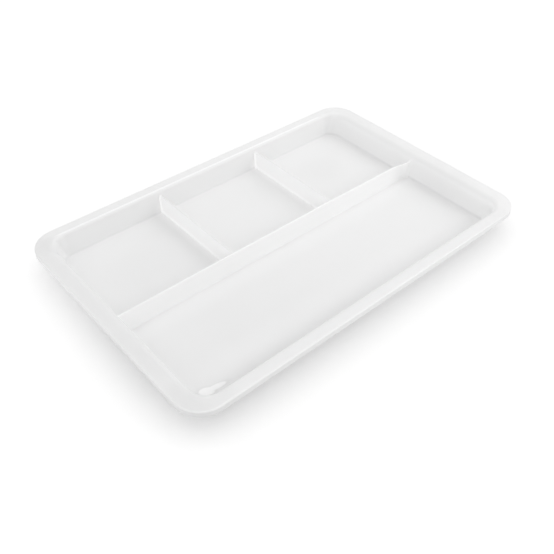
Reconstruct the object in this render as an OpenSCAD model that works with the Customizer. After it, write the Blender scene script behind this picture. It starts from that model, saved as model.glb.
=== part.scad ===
// Divided tray: a shallow rectangular tray with a turned-down rim, a long
// compartment along the front and three small compartments along the back.
// Origin: centre of the underside, on the plane the tray rests on. +Z is up,
// X runs along the tray and +Y points to the row of small compartments.

/* [Tray] */
// Overall length over the rim
tray_l = 284; // [240:1:360]
// Overall width over the rim
tray_w = 185; // [160:1:240]
// Depth from the rim's top to the floor
tray_depth = 17; // [14:0.5:30]
// Thickness of the floor, walls and rim
wall_t = 1.8; // [1.4:0.1:1.8]
// Slope of the walls away from upright, in degrees
wall_draft = 10; // [6:1:14]
// Radius where the walls turn into the floor, inside
floor_round = 2.5; // [2.5:0.5:5]

/* [Rim] */
// Outer corner radius of the rim
rim_corner_r = 18; // [16:1:24]
// Rim width along the front and back, out to the line of the wall
rim_side_w = 8.5; // [7.5:0.5:12]
// Rim width along the two ends, out to the line of the wall
rim_end_w = 11.6; // [8:0.1:14]
// Radius of the opening's corners at the rim
opening_corner_r = 13; // [10:1:18]
// Radius where the rim rolls over into the walls
rim_round = 3.2; // [3:0.1:3.4]
// Height of the turned-down lip, from the rim's top to its lower edge
lip_h = 4.6; // [3.5:0.1:8]
// Thickness of the turned-down lip
lip_t = 1.5; // [1:0.1:1.8]
// Radius on the rim's outer top edge
lip_round = 0.8; // [0.6:0.1:1.4]

/* [Dividers] */
// Drop from the rim's top to the dividers' tops
divider_drop = 1.8; // [1.8:0.1:5]
// Thickness of a divider at its top
divider_t = 1.5; // [1.2:0.1:2.5]
// Slope of a divider's faces away from upright, in degrees
divider_draft = 2; // [1:0.5:3]
// Place of the long divider across the tray
long_divider_y = -1.2; // [-20:0.1:20]
// Distance of each cross divider from the tray's middle
cross_divider_x = 44; // [30:1:60]

/* [Hidden] */
$fn = 96;

tray_h = tray_depth + wall_t;
floor_z = wall_t;
divider_h = tray_depth - divider_drop;
opening_l = tray_l - 2 * rim_end_w;
opening_w = tray_w - 2 * rim_side_w;
wall_run = tray_depth * tan(wall_draft);

// Roll-over of the rim: its arc centre, measured outward from the opening's line.
roll_u = rim_round * tan((90 - wall_draft) / 2);
roll_z = tray_h - rim_round;

// Floor round: its arc centre, measured outward from the opening's line.
round_z = floor_z + floor_round;
round_u = -(tray_depth - floor_round) * tan(wall_draft) - floor_round / cos(wall_draft);

// Flat outline of a plate with rounded corners.
module rounded_plate(l, w, r) {
    square([l - 2 * r, w], center = true);
    square([l, w - 2 * r], center = true);
    for (x = [-1, 1], y = [-1, 1])
        translate([x * (l / 2 - r), y * (w / 2 - r)])
            circle(r);
}

// Sweeps a section around a rounded rectangle. The section's x is measured
// outward from the centres of the corners, and its y is the height.
module sweep_around(l, w, r) {
    run_x = l / 2 - r;
    run_y = w / 2 - r;
    for (i = [0, 1]) {
        rotate(180 * i) {
            translate([run_x, run_y, 0])
                rotate_extrude(angle = 90)
                    children();
            translate([-run_x, run_y, 0])
                rotate(90)
                    rotate_extrude(angle = 90)
                        children();
            translate([run_x, run_y, 0])
                rotate([90, 0, 0])
                    linear_extrude(2 * run_y)
                        children();
            translate([-run_x, run_y, 0])
                rotate([90, 0, 90])
                    linear_extrude(2 * run_x)
                        children();
        }
    }
}

// A bent strip: the part of a ring between two angles under 180 degrees apart.
module ring_sector(r_in, r_out, from, to) {
    reach = 2 * r_out;
    mid = (from + to) / 2;
    intersection() {
        difference() {
            circle(r_out);
            circle(r_in);
        }
        polygon([
            [0, 0],
            [reach * cos(from), reach * sin(from)],
            [reach * cos(mid), reach * sin(mid)],
            [reach * cos(to), reach * sin(to)]
        ]);
    }
}

// Section of the floor, wall and rolled-over rim. x = 0 is the corner centre.
module wall_section(overlap) {
    line = opening_corner_r;
    out_x = wall_t * cos(wall_draft);
    out_z = -wall_t * sin(wall_draft);
    top = [
        line + roll_u - rim_round * cos(wall_draft),
        roll_z + rim_round * sin(wall_draft)
    ];
    foot = [
        line + round_u + floor_round * cos(wall_draft),
        round_z - floor_round * sin(wall_draft)
    ];
    square([line + round_u, wall_t]);
    translate([line + round_u, round_z])
        ring_sector(floor_round, floor_round + wall_t, -90, -wall_draft);
    polygon([foot, top, [top[0] + out_x, top[1] + out_z], [foot[0] + out_x, foot[1] + out_z]]);
    translate([line + roll_u, roll_z])
        ring_sector(rim_round - wall_t, rim_round, 90, 180 - wall_draft);
    translate([line + roll_u, tray_h - wall_t])
        square([overlap, wall_t]);
}

// Section of the turned-down lip. x = 0 is the rim's corner centre.
module lip_section() {
    translate([rim_corner_r - lip_round, tray_h - lip_round])
        intersection() {
            circle(lip_round);
            square(lip_round);
        }
    translate([rim_corner_r - lip_t, tray_h - lip_h])
        square([lip_t, lip_h - lip_round]);
}

// The tray's one-piece floor, walls, rim and lip.
module tray_shell() {
    color("whitesmoke") {
        sweep_around(opening_l, opening_w, opening_corner_r)
            wall_section(overlap = 1);
        translate([0, 0, wall_t / 2])
            cube([opening_l - 2 * opening_corner_r, opening_w - 2 * opening_corner_r, wall_t], center = true);
        translate([0, 0, tray_h - wall_t])
            linear_extrude(wall_t)
                difference() {
                    rounded_plate(tray_l - 2 * lip_round, tray_w - 2 * lip_round, rim_corner_r - lip_round);
                    rounded_plate(opening_l + 2 * roll_u, opening_w + 2 * roll_u, opening_corner_r + roll_u);
                }
        sweep_around(tray_l, tray_w, rim_corner_r)
            lip_section();
    }
}

// Section of a divider: faces that lean in towards a rounded top.
module divider_section() {
    top_z = floor_z + divider_h - divider_t / 2;
    top_x = divider_t / 2;
    foot_x = top_x + (top_z - floor_z) * tan(divider_draft);
    translate([0, top_z])
        circle(divider_t / 2);
    polygon([[-foot_x, floor_z], [foot_x, floor_z], [top_x, top_z], [-top_x, top_z]]);
}

// Half of the space inside the walls, from the tray's middle to one wall.
module inside_section(half_opening) {
    foot_x = half_opening - wall_run;
    difference() {
        polygon([[0, floor_z], [foot_x, floor_z], [half_opening, tray_h], [0, tray_h]]);
        difference() {
            polygon([
                [half_opening + round_u, floor_z],
                [foot_x, floor_z],
                [half_opening + round_u + floor_round * cos(wall_draft), round_z - floor_round * sin(wall_draft)],
                [half_opening + round_u, round_z]
            ]);
            translate([half_opening + round_u, round_z])
                circle(floor_round);
        }
    }
}

// Divider that runs from end wall to end wall.
module long_divider() {
    color("white")
        intersection() {
            translate([-tray_l / 2, long_divider_y, 0])
                rotate([90, 0, 90])
                    linear_extrude(tray_l)
                        divider_section();
            translate([0, tray_w / 2, 0])
                rotate([90, 0, 0])
                    linear_extrude(tray_w)
                        union() {
                            inside_section(opening_l / 2);
                            mirror([1, 0])
                                inside_section(opening_l / 2);
                        }
        }
}

// Divider that runs from the long divider to the back wall at the given x.
module cross_divider(x) {
    difference() {
        intersection() {
            translate([x, tray_w / 2, 0])
                rotate([90, 0, 0])
                    linear_extrude(tray_w / 2 - long_divider_y)
                        divider_section();
            translate([-tray_l / 2, 0, 0])
                rotate([90, 0, 90])
                    linear_extrude(tray_l)
                        translate([long_divider_y, 0])
                            inside_section(opening_w / 2 - long_divider_y);
        }
        translate([-tray_l / 2, long_divider_y, 0])
            rotate([90, 0, 90])
                linear_extrude(tray_l)
                    divider_section();
    }
}

// Cross divider between the left and middle small compartments.
module cross_divider_left() {
    color("ghostwhite")
        cross_divider(-cross_divider_x);
}

// Cross divider between the middle and right small compartments.
module cross_divider_right() {
    color("ghostwhite")
        cross_divider(cross_divider_x);
}

tray_shell();
long_divider();
cross_divider_left();
cross_divider_right();
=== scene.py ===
"""Looks of the divided tray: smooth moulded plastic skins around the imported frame, in metres."""

import math
from collections import namedtuple

import bmesh
import bpy
from mathutils import Matrix, Vector


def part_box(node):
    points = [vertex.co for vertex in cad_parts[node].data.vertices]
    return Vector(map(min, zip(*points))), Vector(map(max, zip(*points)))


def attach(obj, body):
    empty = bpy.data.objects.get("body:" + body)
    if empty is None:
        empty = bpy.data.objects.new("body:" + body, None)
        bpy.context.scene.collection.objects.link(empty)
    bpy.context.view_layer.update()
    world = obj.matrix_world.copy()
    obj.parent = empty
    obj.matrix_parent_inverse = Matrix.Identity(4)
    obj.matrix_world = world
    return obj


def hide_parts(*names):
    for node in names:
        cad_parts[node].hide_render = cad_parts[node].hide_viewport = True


MM = 0.001
SCENE = bpy.context.scene

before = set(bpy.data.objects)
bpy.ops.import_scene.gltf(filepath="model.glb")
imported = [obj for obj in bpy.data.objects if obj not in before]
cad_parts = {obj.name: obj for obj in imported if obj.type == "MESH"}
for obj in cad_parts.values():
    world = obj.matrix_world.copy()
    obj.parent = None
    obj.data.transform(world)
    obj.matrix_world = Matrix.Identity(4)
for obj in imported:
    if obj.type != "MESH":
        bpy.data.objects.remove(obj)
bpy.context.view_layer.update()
shell_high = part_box("tray_shell")[1]

# --------------------------------------------------------------- dimensions
HALF_L = shell_high.x
HALF_W = shell_high.y
RIM_Z = shell_high.z
FLOOR_T = 1.8 * MM
RIM_CORNER_R = 18 * MM
OPENING_CORNER_R = 13 * MM
FOOT_R = 2 * MM
FLOOR_BORDER = 2 * MM
LIP_H = 4.6 * MM
LIP_T = 1.5 * MM
LIP_R = 0.8 * MM
LIP_EDGE_R = 0.3 * MM
LIP_CROOK_R = 0.9 * MM

# A wall's rim is the distance from the tray's edge to the opening's line, and its roll is the
# radius between wall and rim.
Wall = namedtuple("Wall", "rim draft roll")
SIDE = Wall(rim=8.9 * MM, draft=math.radians(7.2), roll=3 * MM)
END = Wall(rim=11.3 * MM, draft=math.radians(14.9), roll=5 * MM)

FOOT_Z = FLOOR_T + FOOT_R
INNER_CORE = Vector((HALF_L - END.rim - OPENING_CORNER_R, HALF_W - SIDE.rim - OPENING_CORNER_R))
OUTER_CORE = Vector((HALF_L - RIM_CORNER_R, HALF_W - RIM_CORNER_R))

DIVIDER_T = 1.5 * MM
DIVIDER_DRAFT = math.radians(2)
DIVIDER_SINK = 0.4 * MM
FILLET_R = 0.7 * MM
LONG_END_FILLET_R = 4 * MM
# The share of a fillet's flare that a divider's ends get.
END_FLARE_SHARE = 0.6
# The share of the long divider's draft at which a cross divider starts, just inside its face.
START_IN_DRAFT = 0.98

# How far the dividers' tops stand below their level height, and where that grows.
LONG_DROP = 0.7 * MM
LONG_DROP_X = (30 * MM, 100 * MM)
LONG_END_DROP = 3 * MM
LONG_END_DROP_X = (104 * MM, 130 * MM)
CROSS_DROP = 0.4 * MM
CROSS_END_DROP = 1.8 * MM
CROSS_END_DROP_Y = (66 * MM, 83 * MM)

# Points nearer than this become one.
WELD_DISTANCE = 1e-7
# How finely the skins are divided.
CORNER_STEPS = 18
LONG_STEPS = 48
SHORT_STEPS = 30
FOOT_STEPS = 12
ROLL_STEPS = 14
UNDER_ROLL_STEPS = 6
LIP_STEPS = 8
LIP_EDGE_STEPS = 4
LIP_CROOK_STEPS = 5
RIM_RINGS = 4
UNDER_RIM_RINGS = 2
FILLET_SHARES = [0, 0.02, 0.08, 0.18, 0.32, 0.5, 0.72, 1]
DIVIDER_FACE_STEPS = 6
DIVIDER_TOP_STEPS = 6
LONG_DIVIDER_STEPS = 60
CROSS_DIVIDER_STEPS = 24


def roll_u(wall):
    """Centre of the rim's roll-over, outward from the opening's line."""
    return wall.roll * math.tan((math.pi / 2 - wall.draft) / 2)


def foot_u(wall):
    """Centre of the wall's foot round, outward from the opening's line."""
    return -(RIM_Z - FOOT_Z) * math.tan(wall.draft) - FOOT_R / math.cos(wall.draft)


# ------------------------------------------------------------------- meshes
def ring_faces(rings, count):
    """Faces between rings of count points each, with a flat cap on the first and the last ring."""
    faces = []
    for i in range(rings - 1):
        for k in range(count):
            a, b = i * count + k, i * count + (k + 1) % count
            faces.append((a, b, b + count, a + count))
    last = (rings - 1) * count
    faces.append(list(range(count)))
    faces.append([last + k for k in reversed(range(count))])
    return faces


def make_piece(name, node, rings):
    """A smooth closed skin through rings of points, which stands for one CAD node on the one body."""
    verts = [point for points in rings for point in points]
    mesh = bpy.data.meshes.new(name)
    mesh.from_pydata(verts, [], ring_faces(len(rings), len(rings[0])))
    mesh.validate()
    bm = bmesh.new()
    bm.from_mesh(mesh)
    bmesh.ops.remove_doubles(bm, verts=bm.verts, dist=WELD_DISTANCE)
    bmesh.ops.recalc_face_normals(bm, faces=bm.faces)
    bm.to_mesh(mesh)
    bm.free()
    for poly in mesh.polygons:
        poly.use_smooth = True
    piece = bpy.data.objects.new(name, mesh)
    SCENE.collection.objects.link(piece)
    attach(piece, "root")
    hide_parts(node)
    return piece


def arc(centre_u, centre_z, radius, start, end, steps):
    """Points of an arc, in degrees, as (outward, height) pairs."""
    points = []
    for i in range(steps + 1):
        angle = math.radians(start + (end - start) * i / steps)
        points.append((centre_u + radius * math.cos(angle), centre_z + radius * math.sin(angle)))
    return points


def loop_frames():
    """Samples of a rounded rectangle: share of the core rectangle and outward direction."""
    frames = []
    corners = [(1, 1, 0), (-1, 1, 90), (-1, -1, 180), (1, -1, 270)]
    for i, (sx, sy, start) in enumerate(corners):
        for k in range(CORNER_STEPS + 1):
            angle = math.radians(start + 90 * k / CORNER_STEPS)
            frames.append((sx, sy, math.cos(angle), math.sin(angle)))
        nx, ny = corners[(i + 1) % 4][:2]
        steps = LONG_STEPS if sy == ny else SHORT_STEPS
        angle = math.radians(start + 90)
        for k in range(1, steps):
            t = k / steps
            frames.append((sx + (nx - sx) * t, sy + (ny - sy) * t, math.cos(angle), math.sin(angle)))
    return frames


def ring(frames, core, end_point, side_point):
    """One closed ring; round a corner its section blends from the end wall's to the side wall's."""
    points = []
    for cx, cy, nx, ny in frames:
        end_share = nx * nx
        out = end_point[0] * end_share + side_point[0] * (1 - end_share)
        height = end_point[1] * end_share + side_point[1] * (1 - end_share)
        points.append(Vector((cx * core.x + out * nx, cy * core.y + out * ny, height)))
    return points


def inner_section(wall):
    """Seen side of the wall, from the floor up over the roll to the flat rim."""
    line = OPENING_CORNER_R
    turn = math.degrees(wall.draft)
    foot, roll = line + foot_u(wall), line + roll_u(wall)
    points = [(foot - FLOOR_BORDER, FLOOR_T)]
    points += arc(foot, FOOT_Z, FOOT_R, -90, -turn, FOOT_STEPS)
    return points + arc(roll, RIM_Z - wall.roll, wall.roll, 180 - turn, 90, ROLL_STEPS)


def under_section(wall):
    """Hidden side of the wall, from under the rim down to the underside."""
    line = OPENING_CORNER_R
    turn = math.degrees(wall.draft)
    foot, roll = line + foot_u(wall), line + roll_u(wall)
    points = arc(roll, RIM_Z - wall.roll, wall.roll - FLOOR_T, 90, 180 - turn, UNDER_ROLL_STEPS)
    points += arc(foot, FOOT_Z, FOOT_R + FLOOR_T, -turn, -90, FOOT_STEPS)
    return points + [(foot - FLOOR_BORDER, 0)]


def lip_section():
    """Outer edge of the rim: rounded over, down the lip, round its lower edge and up inside it."""
    edge = RIM_CORNER_R
    inside = edge - LIP_T
    low = RIM_Z - LIP_H + LIP_EDGE_R
    crook_z = RIM_Z - FLOOR_T - LIP_CROOK_R
    points = arc(edge - LIP_R, RIM_Z - LIP_R, LIP_R, 90, 0, LIP_STEPS)
    points += arc(edge - LIP_EDGE_R, low, LIP_EDGE_R, 0, -90, LIP_EDGE_STEPS)
    points += arc(inside + LIP_EDGE_R, low, LIP_EDGE_R, -90, -180, LIP_EDGE_STEPS)
    return points + arc(inside - LIP_CROOK_R, crook_z, LIP_CROOK_R, 0, 90, LIP_CROOK_STEPS)


def between(first, last, count):
    """Rings spaced evenly between two rings."""
    return [[a.lerp(b, (i + 1) / (count + 1)) for a, b in zip(first, last)] for i in range(count)]


def tray_shell():
    """Floor, walls, rim and lip: one skin, up the seen side, round the lip and down the hidden side."""
    frames = loop_frames()
    seen = zip(inner_section(END), inner_section(SIDE))
    hidden = zip(under_section(END), under_section(SIDE))
    inner = [ring(frames, INNER_CORE, end, side) for end, side in seen]
    outer = [ring(frames, OUTER_CORE, point, point) for point in lip_section()]
    under = [ring(frames, INNER_CORE, end, side) for end, side in hidden]
    rings = inner + between(inner[-1], outer[0], RIM_RINGS) + outer
    rings += between(outer[-1], under[0], UNDER_RIM_RINGS) + under
    return make_piece("moulded_tray_shell", "tray_shell", rings)


def wall_place(wall, half, height):
    """How far out from the tray's middle a wall's seen side is, at a height."""
    line = half - wall.rim
    rise = height - (RIM_Z - wall.roll)
    if rise > wall.roll * math.sin(wall.draft):
        return line + roll_u(wall) - math.sqrt(wall.roll ** 2 - rise ** 2)
    if height >= FOOT_Z - FOOT_R * math.sin(wall.draft):
        return line - (RIM_Z - height) * math.tan(wall.draft)
    drop = FOOT_Z - height
    return line + foot_u(wall) + math.sqrt(max(FOOT_R ** 2 - drop ** 2, 0.0))


def flare(distance, radius):
    """Extra half thickness that a fillet adds near the surface that a divider grows from."""
    reach = radius - max(distance, 0.0)
    if reach <= 0:
        return 0.0
    return radius - math.sqrt(radius ** 2 - reach ** 2)


def half_thickness(height, top, end_flare, rounded):
    """Half a divider's thickness, which grows with the draft and the fillets below the rounded top."""
    half = DIVIDER_T / 2 + END_FLARE_SHARE * end_flare
    if rounded:
        return half
    rise = top - DIVIDER_T / 2 - height
    return half + (rise * math.tan(DIVIDER_DRAFT) + flare(height - FLOOR_T, FILLET_R))


def divider_section(top):
    """Points round a divider's section.

    Each has its share of half the thickness, its height, and whether it is in the rounded top.
    """
    straight_top = top - DIVIDER_T / 2
    heights = [FLOOR_T - DIVIDER_SINK] + [FLOOR_T + FILLET_R * share for share in FILLET_SHARES]
    fillet_top = heights[-1]
    for i in range(1, DIVIDER_FACE_STEPS + 1):
        heights.append(fillet_top + (straight_top - fillet_top) * i / DIVIDER_FACE_STEPS)
    section = [(1, height, False) for height in heights]
    for i in range(1, DIVIDER_TOP_STEPS):
        angle = math.pi / 2 * i / DIVIDER_TOP_STEPS
        section.append((math.cos(angle), straight_top + DIVIDER_T / 2 * math.sin(angle), True))
    other_side = [(-share, height, rounded) for share, height, rounded in reversed(section)]
    return section + [(0, top, True)] + other_side


def divider_places(start, end, steps, fillets):
    """Places along a divider, from just inside the surface it starts on to just inside the other."""
    first, last = start + fillets[0], end - fillets[1]
    places = [start - DIVIDER_SINK] + [start + fillets[0] * share for share in FILLET_SHARES]
    places += [first + (last - first) * ((i + 1) / steps) for i in range(steps - 1)]
    return places + [end - fillets[1] * share for share in reversed(FILLET_SHARES)] + [end + DIVIDER_SINK]


def divider(node, along, start_at, end_at, steps, fillets, drop_at):
    """A thin standing divider with a rounded top and small fillets where it meets the tray.

    It runs in X or Y, as along says. start_at and end_at give the places of the surfaces that it
    grows from, at a height. fillets are the radii at its start and its end, and drop_at is how far
    its top sinks, at a place along it.
    """
    low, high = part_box(node)
    top = high.z
    across = (low.y + high.y) / 2 if along == "X" else (low.x + high.x) / 2
    rows = []
    for share, height, rounded in divider_section(top):
        start, end = start_at(height), end_at(height)
        row = []
        for place in divider_places(start, end, steps, fillets):
            end_flare = max(flare(place - start, fillets[0]), flare(end - place, fillets[1]))
            side = across + share * half_thickness(height, top, end_flare, rounded)
            sunk = height - drop_at(place) * max(height - FLOOR_T, 0) / (top - FLOOR_T)
            row.append(Vector((place, side, sunk)) if along == "X" else Vector((side, place, sunk)))
        rows.append(row)
    return make_piece(f"moulded_{node}", node, list(zip(*rows)))


def ease(value, places):
    """A smooth rise from 0 to 1 between two places."""
    low, high = places
    share = min(max((value - low) / (high - low), 0), 1)
    return share * share * (3 - 2 * share)


def long_drop(x):
    """How far the long divider's top has sunk, which grows towards the right end wall."""
    return LONG_DROP * ease(x, LONG_DROP_X) + LONG_END_DROP * ease(x, LONG_END_DROP_X)


def cross_drop(y):
    """How far a cross divider's top has sunk, which grows towards the back wall."""
    return CROSS_DROP + CROSS_END_DROP * ease(y, CROSS_END_DROP_Y)


def long_divider():
    """The divider from the left end wall to the right one."""
    fillets = (FILLET_R, LONG_END_FILLET_R)
    return divider("long_divider", "X",
                   lambda height: -wall_place(END, HALF_L, height),
                   lambda height: wall_place(END, HALF_L, height),
                   LONG_DIVIDER_STEPS, fillets, long_drop)


def cross_divider(side):
    """The left or the right divider from the long one to the back wall."""
    low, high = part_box("long_divider")
    long_y = (low.y + high.y) / 2
    straight_top = high.z - DIVIDER_T / 2

    def long_face(height):
        rise = max(straight_top - height, 0)
        return long_y + DIVIDER_T / 2 + rise * math.tan(DIVIDER_DRAFT) * START_IN_DRAFT

    return divider(f"cross_divider_{side}", "Y",
                   long_face, lambda height: wall_place(SIDE, HALF_W, height),
                   CROSS_DIVIDER_STEPS, (FILLET_R, FILLET_R), cross_drop)


# ------------------------------------------------------------- shader nodes
WHITE = (1, 1, 1, 1)
NOISE_SPAN = (0.2, 0.8)

Point = namedtuple("Point", "place x y z")
Patch = namedtuple("Patch", "x y half_length half_width turn")


def new_material(name):
    """An empty material with one surface shader, not yet joined to the output."""
    material = bpy.data.materials.new(name)
    material.use_nodes = True
    tree = material.node_tree
    tree.nodes.clear()
    output = tree.nodes.new("ShaderNodeOutputMaterial")
    surface = tree.nodes.new("ShaderNodeBsdfPrincipled")
    surface.inputs["Emission Color"].default_value = WHITE
    return material, tree, surface, output


def shaded_point(tree):
    """The place that is being shaded, on its own and as its X, Y and Z."""
    place = tree.nodes.new("ShaderNodeTexCoord").outputs["Object"]
    parts = tree.nodes.new("ShaderNodeSeparateXYZ")
    tree.links.new(place, parts.inputs["Vector"])
    return Point(place, parts.outputs["X"], parts.outputs["Y"], parts.outputs["Z"])


def spread(tree, value, span, levels, smooth=False):
    """A value moved from a span to a pair of levels, and held between them."""
    node = tree.nodes.new("ShaderNodeMapRange")
    if smooth:
        node.interpolation_type = "SMOOTHSTEP"
    node.inputs["From Min"].default_value = span[0]
    node.inputs["From Max"].default_value = span[1]
    node.inputs["To Min"].default_value = levels[0]
    node.inputs["To Max"].default_value = levels[1]
    tree.links.new(value, node.inputs["Value"])
    return node.outputs["Result"]


def noise_range(tree, place, scale, levels):
    """Noise spread over a pair of levels."""
    texture = tree.nodes.new("ShaderNodeTexNoise")
    texture.inputs["Scale"].default_value = scale
    tree.links.new(place, texture.inputs["Vector"])
    return spread(tree, texture.outputs["Fac"], NOISE_SPAN, levels)


def combine(tree, operation, first, second):
    """Two values joined by a sum, a product or the like; the second may be a plain number."""
    node = tree.nodes.new("ShaderNodeMath")
    node.operation = operation
    tree.links.new(first, node.inputs[0])
    if isinstance(second, float):
        node.inputs[1].default_value = second
    else:
        tree.links.new(second, node.inputs[1])
    return node.outputs["Value"]


def product(tree, first, *others):
    """All the values multiplied together."""
    for other in others:
        first = combine(tree, "MULTIPLY", first, other)
    return first


def total(tree, first, *others):
    """All the values added together."""
    for other in others:
        first = combine(tree, "ADD", first, other)
    return first


def band(tree, value, rise, fall, smooth=False):
    """1 from the end of the rise to the start of the fall, and 0 before and after them."""
    risen = spread(tree, value, rise, (0, 1), smooth)
    return product(tree, risen, spread(tree, value, fall, (1, 0), smooth))


def fade(tree, share, tone):
    """A tone where the share is 1, and no change where it is 0."""
    change = combine(tree, "SUBTRACT", tone, 1.0)
    return combine(tree, "ADD", product(tree, share, change), 1.0)


def vector_math(tree, operation, first, second=None):
    """The node that does a step of vector arithmetic; the second vector is plain numbers."""
    node = tree.nodes.new("ShaderNodeVectorMath")
    node.operation = operation
    tree.links.new(first, node.inputs[0])
    if second is not None:
        node.inputs[1].default_value = second
    return node


def beyond_rim(tree, place):
    """How far a point is outward from the core of the rim's rounded outline."""
    core = (OUTER_CORE.x, OUTER_CORE.y, RIM_Z)
    flat = vector_math(tree, "ABSOLUTE", place).outputs["Vector"]
    past = vector_math(tree, "SUBTRACT", flat, core).outputs["Vector"]
    held = vector_math(tree, "MAXIMUM", past, (0, 0, 0)).outputs["Vector"]
    return vector_math(tree, "LENGTH", held).outputs["Value"]


def from_patch(tree, place, patch):
    """Distance from the middle of an oval patch on the floor, in patch sizes."""
    mapping = tree.nodes.new("ShaderNodeMapping")
    mapping.vector_type = "TEXTURE"
    mapping.inputs["Location"].default_value = (patch.x, patch.y, FLOOR_T)
    mapping.inputs["Rotation"].default_value = (0, 0, patch.turn)
    mapping.inputs["Scale"].default_value = (patch.half_length, patch.half_width, 1)
    tree.links.new(place, mapping.inputs["Vector"])
    return vector_math(tree, "LENGTH", mapping.outputs["Vector"]).outputs["Value"]


def grey(tree, value):
    """A grey colour of a given level."""
    joined = tree.nodes.new("ShaderNodeCombineColor")
    for channel in ("Red", "Green", "Blue"):
        tree.links.new(value, joined.inputs[channel])
    return joined.outputs["Color"]


def mix_shaders(tree, share, first, second):
    """Two shaders mixed; the share of the second is a number or a node's value."""
    mixed = tree.nodes.new("ShaderNodeMixShader")
    if isinstance(share, float):
        mixed.inputs["Fac"].default_value = share
    else:
        tree.links.new(share, mixed.inputs["Fac"])
    tree.links.new(first, mixed.inputs[1])
    tree.links.new(second, mixed.inputs[2])
    return mixed.outputs["Shader"]


# --------------------------------------------------------------- painted shade and light on the shell
# Every tone here is painted shade or painted light in the shell's colour, standing in for how the lamps
# fall. Each pair of places or reaches is where a tone starts to change and where it stops.
RIM_TOP_Z = (RIM_Z - 1.5 * MM, RIM_Z - 0.5 * MM)
# Painted shade on the left rim, painted light on the right rim and along the back rim.
LEFT_RIM_X = (-HALF_L + 8 * MM, -HALF_L + 17 * MM)
LEFT_RIM_TONE = 0.965
RIGHT_RIM_X = (HALF_L - 19 * MM, HALF_L - 12 * MM)
RIGHT_RIM_TONE = 1.02
BACK_RIM_Y = (HALF_W - 6.5 * MM, HALF_W - 5 * MM)
BACK_RIM_TONE = 1.015

# Painted shade on the back wall.
BACK_WALL_TOP_Y = HALF_W - SIDE.rim - 2.6 * MM
BACK_WALL_Y = (BACK_WALL_TOP_Y - 0.6 * MM, BACK_WALL_TOP_Y + 0.2 * MM)
BACK_WALL_DRIFT_X = (-90 * MM, 70 * MM)
BACK_WALL_TONES = (0.945, 0.975)

# Painted shade on the turned-down lip.
LIP_REACH = (RIM_CORNER_R - 0.5 * MM, RIM_CORNER_R - 0.1 * MM)
LIP_TONE = 0.915
LIP_TONE_X = (-HALF_L, 40 * MM)
LIP_TONE_Y = (-20 * MM, 50 * MM)

# Painted shade in a thin band along the foot of the walls, where the gloss is also turned off.
FOOT_RISE_Z = (FLOOR_T, FLOOR_T + 0.12 * MM)
FOOT_FALL_Z = (FLOOR_T + 0.6 * MM, FLOOR_T + 1.4 * MM)
FOOT_SHADE = 0.93

# Painted shade on the floor: near the back, right and front walls and in two soft ovals.
ON_FLOOR_Z = (FLOOR_T + 0.2 * MM, FLOOR_T + 1.2 * MM)
FLOOR_BACK_Y = (73 * MM, 80.5 * MM)
FLOOR_BACK_TONE = 0.992
FLOOR_RIGHT_X = (99 * MM, 122 * MM)
FLOOR_RIGHT_TONE = 0.984
FLOOR_FRONT_Y = (-74 * MM, -65 * MM)
FLOOR_FRONT_DRIFT_X = (-90 * MM, 80 * MM)
FLOOR_FRONT_TONES = (0.965, 1)
DIM_FLOORS = [
    Patch(x=-88 * MM, y=38 * MM, half_length=34 * MM, half_width=30 * MM, turn=0),
    Patch(x=82 * MM, y=44 * MM, half_length=28 * MM, half_width=24 * MM, turn=0),
]
DIM_FLOOR_REACH = (0.2, 1)
DIM_FLOOR_TONE = 0.98

# Painted shade along the middle of the front compartment.
FRONT_FLOOR_RISE_Y = (-64 * MM, -44 * MM)
FRONT_FLOOR_FALL_Y = (-22 * MM, -6 * MM)
FRONT_FLOOR_LEFT_X = (-118 * MM, -75 * MM)
FRONT_FLOOR_SHARES = (0.6, 1)
FRONT_FLOOR_DRIFT_X = (-90 * MM, 60 * MM)
FRONT_FLOOR_TONES = (0.968, 0.984)

# Painted shade on the two left corners.
DIM_CORNERS = [
    Patch(x=-136 * MM, y=-88 * MM, half_length=24 * MM, half_width=24 * MM, turn=0),
    Patch(x=-128 * MM, y=78 * MM, half_length=8 * MM, half_width=8 * MM, turn=0),
]
DIM_CORNER_REACH = (0.7, 1.2)
DIM_CORNER_TONE = 0.975

# A painted reflection of a lamp on the foot of the front left corner, with a ring of painted shade round
# it; round at one end and drawn out at the other.
MARK_HEAD = Patch(x=-117.4 * MM, y=-69.1 * MM, half_length=5 * MM, half_width=3 * MM,
                  turn=math.radians(-28))
MARK_TAIL = Patch(x=-111.5 * MM, y=-69.8 * MM, half_length=7.2 * MM, half_width=1.9 * MM,
                  turn=math.radians(-8))
MARK_RING_REACH = (1, 1.5)
REFLECTION_RING_SHADE = 0.955
MARK_REACH = (0.75, 1.05)
LAMP_REFLECTION_GLOW = 0.245


def below_rim_top(tree, point):
    """1 below the rim's flat top, and 0 on it."""
    return spread(tree, point.z, RIM_TOP_Z, (1, 0))


def rim_painted_light_and_shade(tree, point):
    """The rim's painted light and shade: darker at the left end, lighter at the right end and along the
    back.
    """
    left = spread(tree, point.x, LEFT_RIM_X, (LEFT_RIM_TONE, 1), True)
    right = spread(tree, point.x, RIGHT_RIM_X, (1, RIGHT_RIM_TONE), True)
    back = spread(tree, point.y, BACK_RIM_Y, (1, BACK_RIM_TONE))
    return product(tree, left, right, back)


def back_wall_painted_shade(tree, point):
    """The back wall's painted shade, darkest at its left end."""
    on_wall = product(tree, spread(tree, point.y, BACK_WALL_Y, (0, 1)), below_rim_top(tree, point))
    return fade(tree, on_wall, spread(tree, point.x, BACK_WALL_DRIFT_X, BACK_WALL_TONES))


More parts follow.
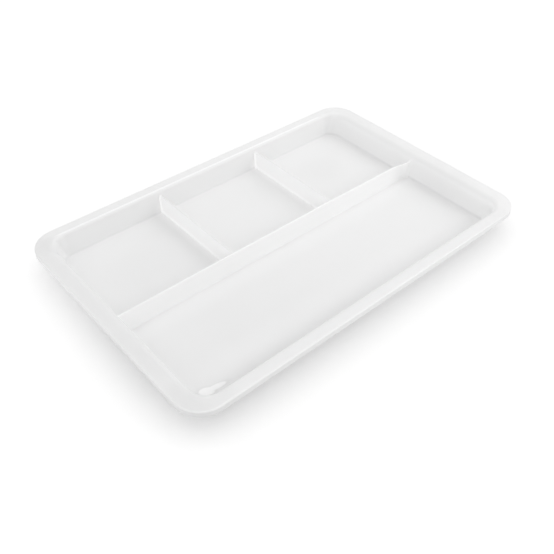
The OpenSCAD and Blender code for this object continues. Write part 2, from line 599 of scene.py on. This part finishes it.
def lip_painted_shade(tree, point):
    """The turned-down lip's painted shade, darkest towards the front left corner."""
    reach = spread(tree, beyond_rim(tree, point.place), LIP_REACH, (0, 1))
    on_lip = product(tree, reach, below_rim_top(tree, point))
    from_left = spread(tree, point.x, LIP_TONE_X, (LIP_TONE, 1))
    from_front = spread(tree, point.y, LIP_TONE_Y, (LIP_TONE, 1))
    return fade(tree, on_lip, combine(tree, "MAXIMUM", from_left, from_front))


def floor_painted_shade(tree, point):
    """The floor's painted shade: darker near the back, the right end and the front, and in two soft ovals.
    """
    back = spread(tree, point.y, FLOOR_BACK_Y, (1, FLOOR_BACK_TONE), True)
    right = spread(tree, point.x, FLOOR_RIGHT_X, (1, FLOOR_RIGHT_TONE), True)
    at_front = spread(tree, point.y, FLOOR_FRONT_Y, (1, 0), True)
    front = fade(tree, at_front, spread(tree, point.x, FLOOR_FRONT_DRIFT_X, FLOOR_FRONT_TONES))
    tone = product(tree, back, front, right)
    for patch in DIM_FLOORS:
        reach = from_patch(tree, point.place, patch)
        tone = product(tree, tone, spread(tree, reach, DIM_FLOOR_REACH, (DIM_FLOOR_TONE, 1), True))
    return fade(tree, spread(tree, point.z, ON_FLOOR_Z, (1, 0)), tone)


def front_floor_painted_shade(tree, point):
    """The painted shade along the middle of the front compartment, which lightens to the right."""
    middle = band(tree, point.y, FRONT_FLOOR_RISE_Y, FRONT_FLOOR_FALL_Y, True)
    share = product(tree, middle, spread(tree, point.x, FRONT_FLOOR_LEFT_X, FRONT_FLOOR_SHARES, True))
    return fade(tree, share, spread(tree, point.x, FRONT_FLOOR_DRIFT_X, FRONT_FLOOR_TONES))


def corner_painted_shade(tree, point):
    """The two left corners' painted shade, a little darker."""
    reaches = [from_patch(tree, point.place, corner) for corner in DIM_CORNERS]
    return product(tree, *[spread(tree, reach, DIM_CORNER_REACH, (DIM_CORNER_TONE, 1), True)
                           for reach in reaches])


def lamp_reflection_reach(tree, point):
    """Distance from the painted lamp reflection in the front left corner, in its own sizes."""
    head = from_patch(tree, point.place, MARK_HEAD)
    tail = from_patch(tree, point.place, MARK_TAIL)
    return combine(tree, "MINIMUM", head, tail)


def shell_painted_shading(tree, point, foot, mark):
    """All the shell's painted shade and painted light in its colour together."""
    return product(tree, rim_painted_light_and_shade(tree, point), back_wall_painted_shade(tree, point), lip_painted_shade(tree, point),
                   floor_painted_shade(tree, point), front_floor_painted_shade(tree, point), corner_painted_shade(tree, point),
                   spread(tree, foot, (0, 1), (1, FOOT_SHADE)),
                   spread(tree, mark, MARK_RING_REACH, (REFLECTION_RING_SHADE, 1)))


# --------------------------------------------------------------- painted light on the shell
# Painted highlight along the back rim's roll.
BACK_ROLL_Y = HALF_W - 7.4 * MM
BACK_GLINT_RISE_Y = (BACK_ROLL_Y - 0.6 * MM, BACK_ROLL_Y)
BACK_GLINT_FALL_Y = (BACK_ROLL_Y, BACK_ROLL_Y + 0.6 * MM)
BACK_GLINT_RISE_X = (-128 * MM, -118 * MM)
BACK_GLINT_FALL_X = (105 * MM, 118 * MM)
BACK_GLINT = 0.28

# Painted highlight on the rim's outer edge.
EDGE_GLINT_REACH = (RIM_CORNER_R - 1 * MM, RIM_CORNER_R - 0.6 * MM)
EDGE_GLINT_Z = (RIM_Z - 0.8 * MM, RIM_Z - 0.4 * MM)
EDGE_GLINT_DRIFT_X = (-HALF_L + 6 * MM, -HALF_L + 40 * MM)
EDGE_GLINTS = (0.115, 0.0345)
EDGE_GLINT_END_Y = (60 * MM, 80 * MM)
EDGE_GLINT_END_X = (110 * MM, 135 * MM)

# Painted light on the shell beside the cross dividers' left faces.
ROOT_GLOW = 0.15
ROOT_GLOW_START = 6.5 * MM
ROOT_GLOW_FULL = 1.5 * MM
ROOT_GLOW_EDGE = 0.5 * MM
WIDE_GLOW = 0.028
WIDE_GLOW_START = 15 * MM
WIDE_GLOW_FULL = 8 * MM
BEHIND_LONG_Y = (0, 1 * MM)
ROOT_GLOW_Z = (FLOOR_T, RIM_Z - 5 * MM)


def back_glint(tree, point):
    """A painted highlight: a thin bright line along the roll of the back rim."""
    across = band(tree, point.y, BACK_GLINT_RISE_Y, BACK_GLINT_FALL_Y)
    along = band(tree, point.x, BACK_GLINT_RISE_X, BACK_GLINT_FALL_X, True)
    return product(tree, across, along, BACK_GLINT)


def edge_glint(tree, point):
    """A painted highlight: a thin bright line on the rim's outer edge, brightest at the left end."""
    reach = spread(tree, beyond_rim(tree, point.place), EDGE_GLINT_REACH, (0, 1))
    on_top = spread(tree, point.z, EDGE_GLINT_Z, (0, 1))
    strength = spread(tree, point.x, EDGE_GLINT_DRIFT_X, EDGE_GLINTS)
    before_back = spread(tree, point.y, EDGE_GLINT_END_Y, (1, 0))
    before_right = spread(tree, point.x, EDGE_GLINT_END_X, (1, 0))
    return product(tree, reach, on_top, strength, before_back, before_right)


def left_of_divider(tree, point, side, start, full, smooth=False):
    """1 beside a cross divider's left face, fading between two distances to the left of its middle."""
    low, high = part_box(f"cross_divider_{side}")
    middle = (low.x + high.x) / 2
    near = spread(tree, point.x, (middle - start, middle - full), (0, 1), smooth)
    return product(tree, near, spread(tree, point.x, (middle - ROOT_GLOW_EDGE, middle), (1, 0)))


def root_glow(tree, point):
    """Painted light through the cross dividers' roots, on the floor and back wall, which spreads wider to
    the left of the right one.
    """
    left = left_of_divider(tree, point, "left", ROOT_GLOW_START, ROOT_GLOW_FULL)
    right = left_of_divider(tree, point, "right", ROOT_GLOW_START, ROOT_GLOW_FULL)
    wide = left_of_divider(tree, point, "right", WIDE_GLOW_START, WIDE_GLOW_FULL, True)
    roots = product(tree, total(tree, left, right), ROOT_GLOW)
    glow = total(tree, roots, product(tree, wide, WIDE_GLOW))
    behind_long = spread(tree, point.y, BEHIND_LONG_Y, (0, 1))
    return product(tree, glow, behind_long, spread(tree, point.z, ROOT_GLOW_Z, (1, 0)))


def shell_painted_light(tree, point, mark):
    """All the shell's painted light together: highlights, the lamp reflection and the light beside the
    dividers' roots.
    """
    # Painted reflection of a lamp in the front left corner.
    mark_glow = spread(tree, mark, MARK_REACH, (LAMP_REFLECTION_GLOW, 0), True)
    return total(tree, root_glow(tree, point), mark_glow, back_glint(tree, point), edge_glint(tree, point))


# ---------------------------------------------------------------- materials
# The shell and the dividers are one white plastic; the differences between these three levels are painted
# light and shade.
SHELL_ALBEDO = 0.95
LONG_ALBEDO = 0.99
CROSS_ALBEDO = 0.97
ALBEDO_SPREAD = 0.002
ALBEDO_GRAIN = 40
ROUGHNESSES = (0.23, 0.25)
ROUGHNESS_GRAIN = 90
PLASTIC_IOR = 1.49
TRANSLUCENCY = 0.5

SPECULAR = 0.5
DULL_BACK_ROLL_Y = (HALF_W - 11 * MM, HALF_W - 9 * MM)
DULL_BACK_ROLL = 0.45

# Painted light on the long divider's face, and painted shade near its right end.
LONG_GLOW = 0.055
LONG_GLOW_X = (-100 * MM, 80 * MM)
LONG_END_TONE = 0.955
LONG_END_DARK_X = (106 * MM, 117 * MM)
LONG_END_LIGHT_X = (119 * MM, 124 * MM)

# Painted light along the cross dividers' feet and their ends at the back wall.
CROSS_FOOT_GLOW = 0.075
CROSS_WALL_GLOW_SHARE = 2.2
CROSS_GLOW_FULL = 1.6 * MM
CROSS_GLOW_REACH = 2.8 * MM


def start_plastic(name, albedo):
    """The parts that every white moulded plastic here shares: a level of grey and a soft gloss."""
    material, tree, surface, output = new_material(name)
    point = shaded_point(tree)
    levels = (albedo * (1 - ALBEDO_SPREAD), albedo * (1 + ALBEDO_SPREAD))
    level = noise_range(tree, point.place, ALBEDO_GRAIN, levels)
    roughness = noise_range(tree, point.place, ROUGHNESS_GRAIN, ROUGHNESSES)
    tree.links.new(roughness, surface.inputs["Roughness"])
    surface.inputs["IOR"].default_value = PLASTIC_IOR
    return material, tree, surface, output, point, level


def close_plastic(tree, surface, output, level, glow):
    """Some light passes through the thin walls, and a face that is seen from inside is clear."""
    colour = grey(tree, level)
    tree.links.new(colour, surface.inputs["Base Color"])
    tree.links.new(glow, surface.inputs["Emission Strength"])
    through = tree.nodes.new("ShaderNodeBsdfTranslucent")
    tree.links.new(colour, through.inputs["Color"])
    wall = mix_shaders(tree, TRANSLUCENCY, surface.outputs["BSDF"], through.outputs["BSDF"])
    clear = tree.nodes.new("ShaderNodeBsdfTransparent").outputs["BSDF"]
    inside = tree.nodes.new("ShaderNodeNewGeometry").outputs["Backfacing"]
    tree.links.new(mix_shaders(tree, inside, wall, clear), output.inputs["Surface"])


def shell_plastic():
    """The shell's plastic with its painted shade and painted light, less glossy on the foot of the walls
    and on the back rim's roll.
    """
    material, tree, surface, output, point, level = start_plastic("shell_plastic", SHELL_ALBEDO)
    foot = band(tree, point.z, FOOT_RISE_Z, FOOT_FALL_Z)
    mark = lamp_reflection_reach(tree, point)
    back_roll = spread(tree, point.y, DULL_BACK_ROLL_Y, (1, DULL_BACK_ROLL))
    gloss = product(tree, back_roll, spread(tree, foot, (0, 1), (SPECULAR, 0)))
    tree.links.new(gloss, surface.inputs["Specular IOR Level"])
    level = product(tree, level, shell_painted_shading(tree, point, foot, mark))
    close_plastic(tree, surface, output, level, shell_painted_light(tree, point, mark))
    return material


def long_divider_plastic():
    """The long divider's plastic, with painted light that grows to the right and painted shade near that
    end.
    """
    material, tree, surface, output, point, level = start_plastic("long_divider_plastic", LONG_ALBEDO)
    darker = spread(tree, point.x, LONG_END_DARK_X, (1, LONG_END_TONE), True)
    lighter = spread(tree, point.x, LONG_END_LIGHT_X, (1, 1 / LONG_END_TONE))
    glow = spread(tree, point.x, LONG_GLOW_X, (0, LONG_GLOW))
    close_plastic(tree, surface, output, product(tree, level, darker, lighter), glow)
    return material


def cross_divider_plastic():
    """The cross dividers' plastic, with painted light where they meet the floor and the back wall."""
    material, tree, surface, output, point, level = start_plastic("cross_divider_plastic", CROSS_ALBEDO)
    foot_z = (FLOOR_T + CROSS_GLOW_FULL, FLOOR_T + CROSS_GLOW_REACH)
    foot = spread(tree, point.z, foot_z, (1, 0))
    wall_y = HALF_W - SIDE.rim - RIM_Z * math.tan(SIDE.draft)
    near_wall_y = (wall_y - CROSS_GLOW_REACH, wall_y - CROSS_GLOW_FULL)
    lean = product(tree, point.z, math.tan(SIDE.draft))
    wall = spread(tree, combine(tree, "SUBTRACT", point.y, lean), near_wall_y, (0, 1))
    glow = combine(tree, "MAXIMUM", foot, product(tree, wall, CROSS_WALL_GLOW_SHARE))
    close_plastic(tree, surface, output, level, product(tree, glow, CROSS_FOOT_GLOW))
    return material


# -------------------------------------------------------------------- stage
STAGE_SIZE = 6
STAGE_Z = -0.2 * MM
STAGE_ALBEDOS = (0.925, 0.935)
STAGE_GRAIN = 3
STAGE_ROUGHNESS = 0.9
# A glow that the camera sees can differ from the light that is cast on the tray.
STAGE_GLOW_SEEN = 0.417
STAGE_GLOW_CAST = 0.09

# Painted shadow on the floor round the tray, deepest beside its left end and weakest behind it.
CONTACT_SHADE = 0.59
CONTACT_REACH = 80 * MM
DARK_SIDE = (-150 * MM, -42 * MM, 0)
DARK_SIDE_NEAR = (10 * MM, 60 * MM)
DARK_SIDE_EXTRA = 1.12
DARK_SIDE_FAR = (150 * MM, 290 * MM)
FAR_SHARE = 0.93
BEHIND_TRAY_Y = (10 * MM, 80 * MM)
BEHIND_SHARE = 0.86

WORLD_GLOW_CAST = 0.72
WORLD_GLOW_SEEN = 1.1
LIGHT_REACH = 1.1

Softbox = namedtuple("Softbox", "name azimuth elevation width length power")
SOFTBOXES = [
    Softbox("key_softbox", azimuth=315, elevation=30, width=0.6, length=0.6, power=3.4),
    Softbox("strip_softbox", azimuth=16, elevation=61, width=0.12, length=0.65, power=1.95),
    Softbox("fill_softbox", azimuth=225, elevation=30, width=0.6, length=0.6, power=1.3),
]

VIEW_AZIMUTH = math.radians(-41.958)
VIEW_ELEVATION = math.radians(43.144)
VIEW_ROLL = math.radians(1.221)
VIEW_DISTANCE = 427.1 * MM
VIEW_AIM = Vector((-38.82 * MM, -37.86 * MM, RIM_Z))
# Blender's camera takes its sensor width and focal length in millimetres.
SENSOR_WIDTH = 36
FOCAL_LENGTH = 44.95
NEAREST_SEEN = 0.01


def contact_shade(tree, point):
    """What the tray's closeness takes off the floor's glow: most by its left end, least behind it."""
    open_sky = tree.nodes.new("ShaderNodeAmbientOcclusion")
    open_sky.inputs["Distance"].default_value = CONTACT_REACH
    away = vector_math(tree, "DISTANCE", point.place, DARK_SIDE).outputs["Value"]
    near = spread(tree, away, DARK_SIDE_NEAR, (-DARK_SIDE_EXTRA * CONTACT_SHADE, -CONTACT_SHADE))
    far = spread(tree, away, DARK_SIDE_FAR, (1, FAR_SHARE))
    behind = spread(tree, point.y, BEHIND_TRAY_Y, (1, BEHIND_SHARE))
    closed = spread(tree, open_sky.outputs["AO"], (0, 1), (1, 0))
    return product(tree, closed, product(tree, near, far, behind))


def floor_material():
    """A pale matt floor on a lit table, shaded softly where the tray stands over it."""
    material, tree, surface, output = new_material("pale_floor")
    point = shaded_point(tree)
    albedo = noise_range(tree, point.place, STAGE_GRAIN, STAGE_ALBEDOS)
    tree.links.new(grey(tree, albedo), surface.inputs["Base Color"])
    surface.inputs["Roughness"].default_value = STAGE_ROUGHNESS
    surface.inputs["Specular IOR Level"].default_value = 0
    seen = combine(tree, "ADD", contact_shade(tree, point), STAGE_GLOW_SEEN)
    glow = tree.nodes.new("ShaderNodeMapRange")
    glow.inputs["To Min"].default_value = STAGE_GLOW_CAST
    tree.links.new(seen, glow.inputs["To Max"])
    is_seen = tree.nodes.new("ShaderNodeLightPath").outputs["Is Camera Ray"]
    tree.links.new(is_seen, glow.inputs["Value"])
    tree.links.new(glow.outputs["Result"], surface.inputs["Emission Strength"])
    tree.links.new(surface.outputs["BSDF"], output.inputs["Surface"])
    return material


def stage_floor():
    """A wide floor, just below the tray."""
    bpy.ops.mesh.primitive_plane_add(size=STAGE_SIZE, location=(0, 0, STAGE_Z))
    floor = bpy.context.object
    floor.name = "studio_floor"
    floor.data.materials.append(floor_material())


def add_softbox(box, receivers):
    """A soft light that faces the tray, from an azimuth off +X and an elevation; its length points up."""
    data = bpy.data.lights.new(box.name, "AREA")
    data.shape = "RECTANGLE"
    data.size = box.width
    data.size_y = box.length
    data.energy = box.power
    light = bpy.data.objects.new(box.name, data)
    turn, rise = math.radians(box.azimuth), math.radians(box.elevation)
    level = math.cos(rise)
    toward = Vector((math.cos(turn) * level, math.sin(turn) * level, math.sin(rise)))
    light.location = toward * LIGHT_REACH
    light.rotation_euler = toward.to_track_quat("Z", "Y").to_euler()
    light.light_linking.receiver_collection = receivers
    SCENE.collection.objects.link(light)


def world_light():
    """Even white light from all around, brighter to the camera than on the tray."""
    world = bpy.data.worlds.new("studio")
    world.use_nodes = True
    tree = world.node_tree
    background = tree.nodes["Background"]
    background.inputs["Color"].default_value = WHITE
    is_seen = tree.nodes.new("ShaderNodeLightPath").outputs["Is Camera Ray"]
    strength = spread(tree, is_seen, (0, 1), (WORLD_GLOW_CAST, WORLD_GLOW_SEEN))
    tree.links.new(strength, background.inputs["Strength"])
    SCENE.world = world


def studio_light(pieces):
    """Even light from all around, and softboxes that light only the tray."""
    world_light()
    receivers = bpy.data.collections.new("lit_by_softboxes")
    for piece in pieces:
        receivers.objects.link(piece)
    for box in SOFTBOXES:
        add_softbox(box, receivers)
    SCENE.view_settings.view_transform = "Standard"


def camera():
    """A camera that looks at its aim from the viewing angle, turned a little by its roll."""
    level = math.cos(VIEW_ELEVATION)
    back_x = math.sin(VIEW_AZIMUTH) * level
    back_y = -math.cos(VIEW_AZIMUTH) * level
    back = Vector((back_x, back_y, math.sin(VIEW_ELEVATION)))
    data = bpy.data.cameras.new("camera")
    data.sensor_width = SENSOR_WIDTH
    data.lens = FOCAL_LENGTH
    data.clip_start = NEAREST_SEEN
    cam = bpy.data.objects.new("camera", data)
    turn = (-back).to_track_quat("-Z", "Y").to_matrix() @ Matrix.Rotation(VIEW_ROLL, 3, "Z")
    cam.matrix_world = Matrix.Translation(VIEW_AIM + back * VIEW_DISTANCE) @ turn.to_4x4()
    SCENE.collection.objects.link(cam)
    SCENE.camera = cam


shell = tray_shell()
long_piece = long_divider()
cross_pieces = [cross_divider("left"), cross_divider("right")]
shell.data.materials.append(shell_plastic())
long_piece.data.materials.append(long_divider_plastic())
cross_plastic = cross_divider_plastic()
for piece in cross_pieces:
    piece.data.materials.append(cross_plastic)
stage_floor()
studio_light([shell, long_piece] + cross_pieces)
camera()
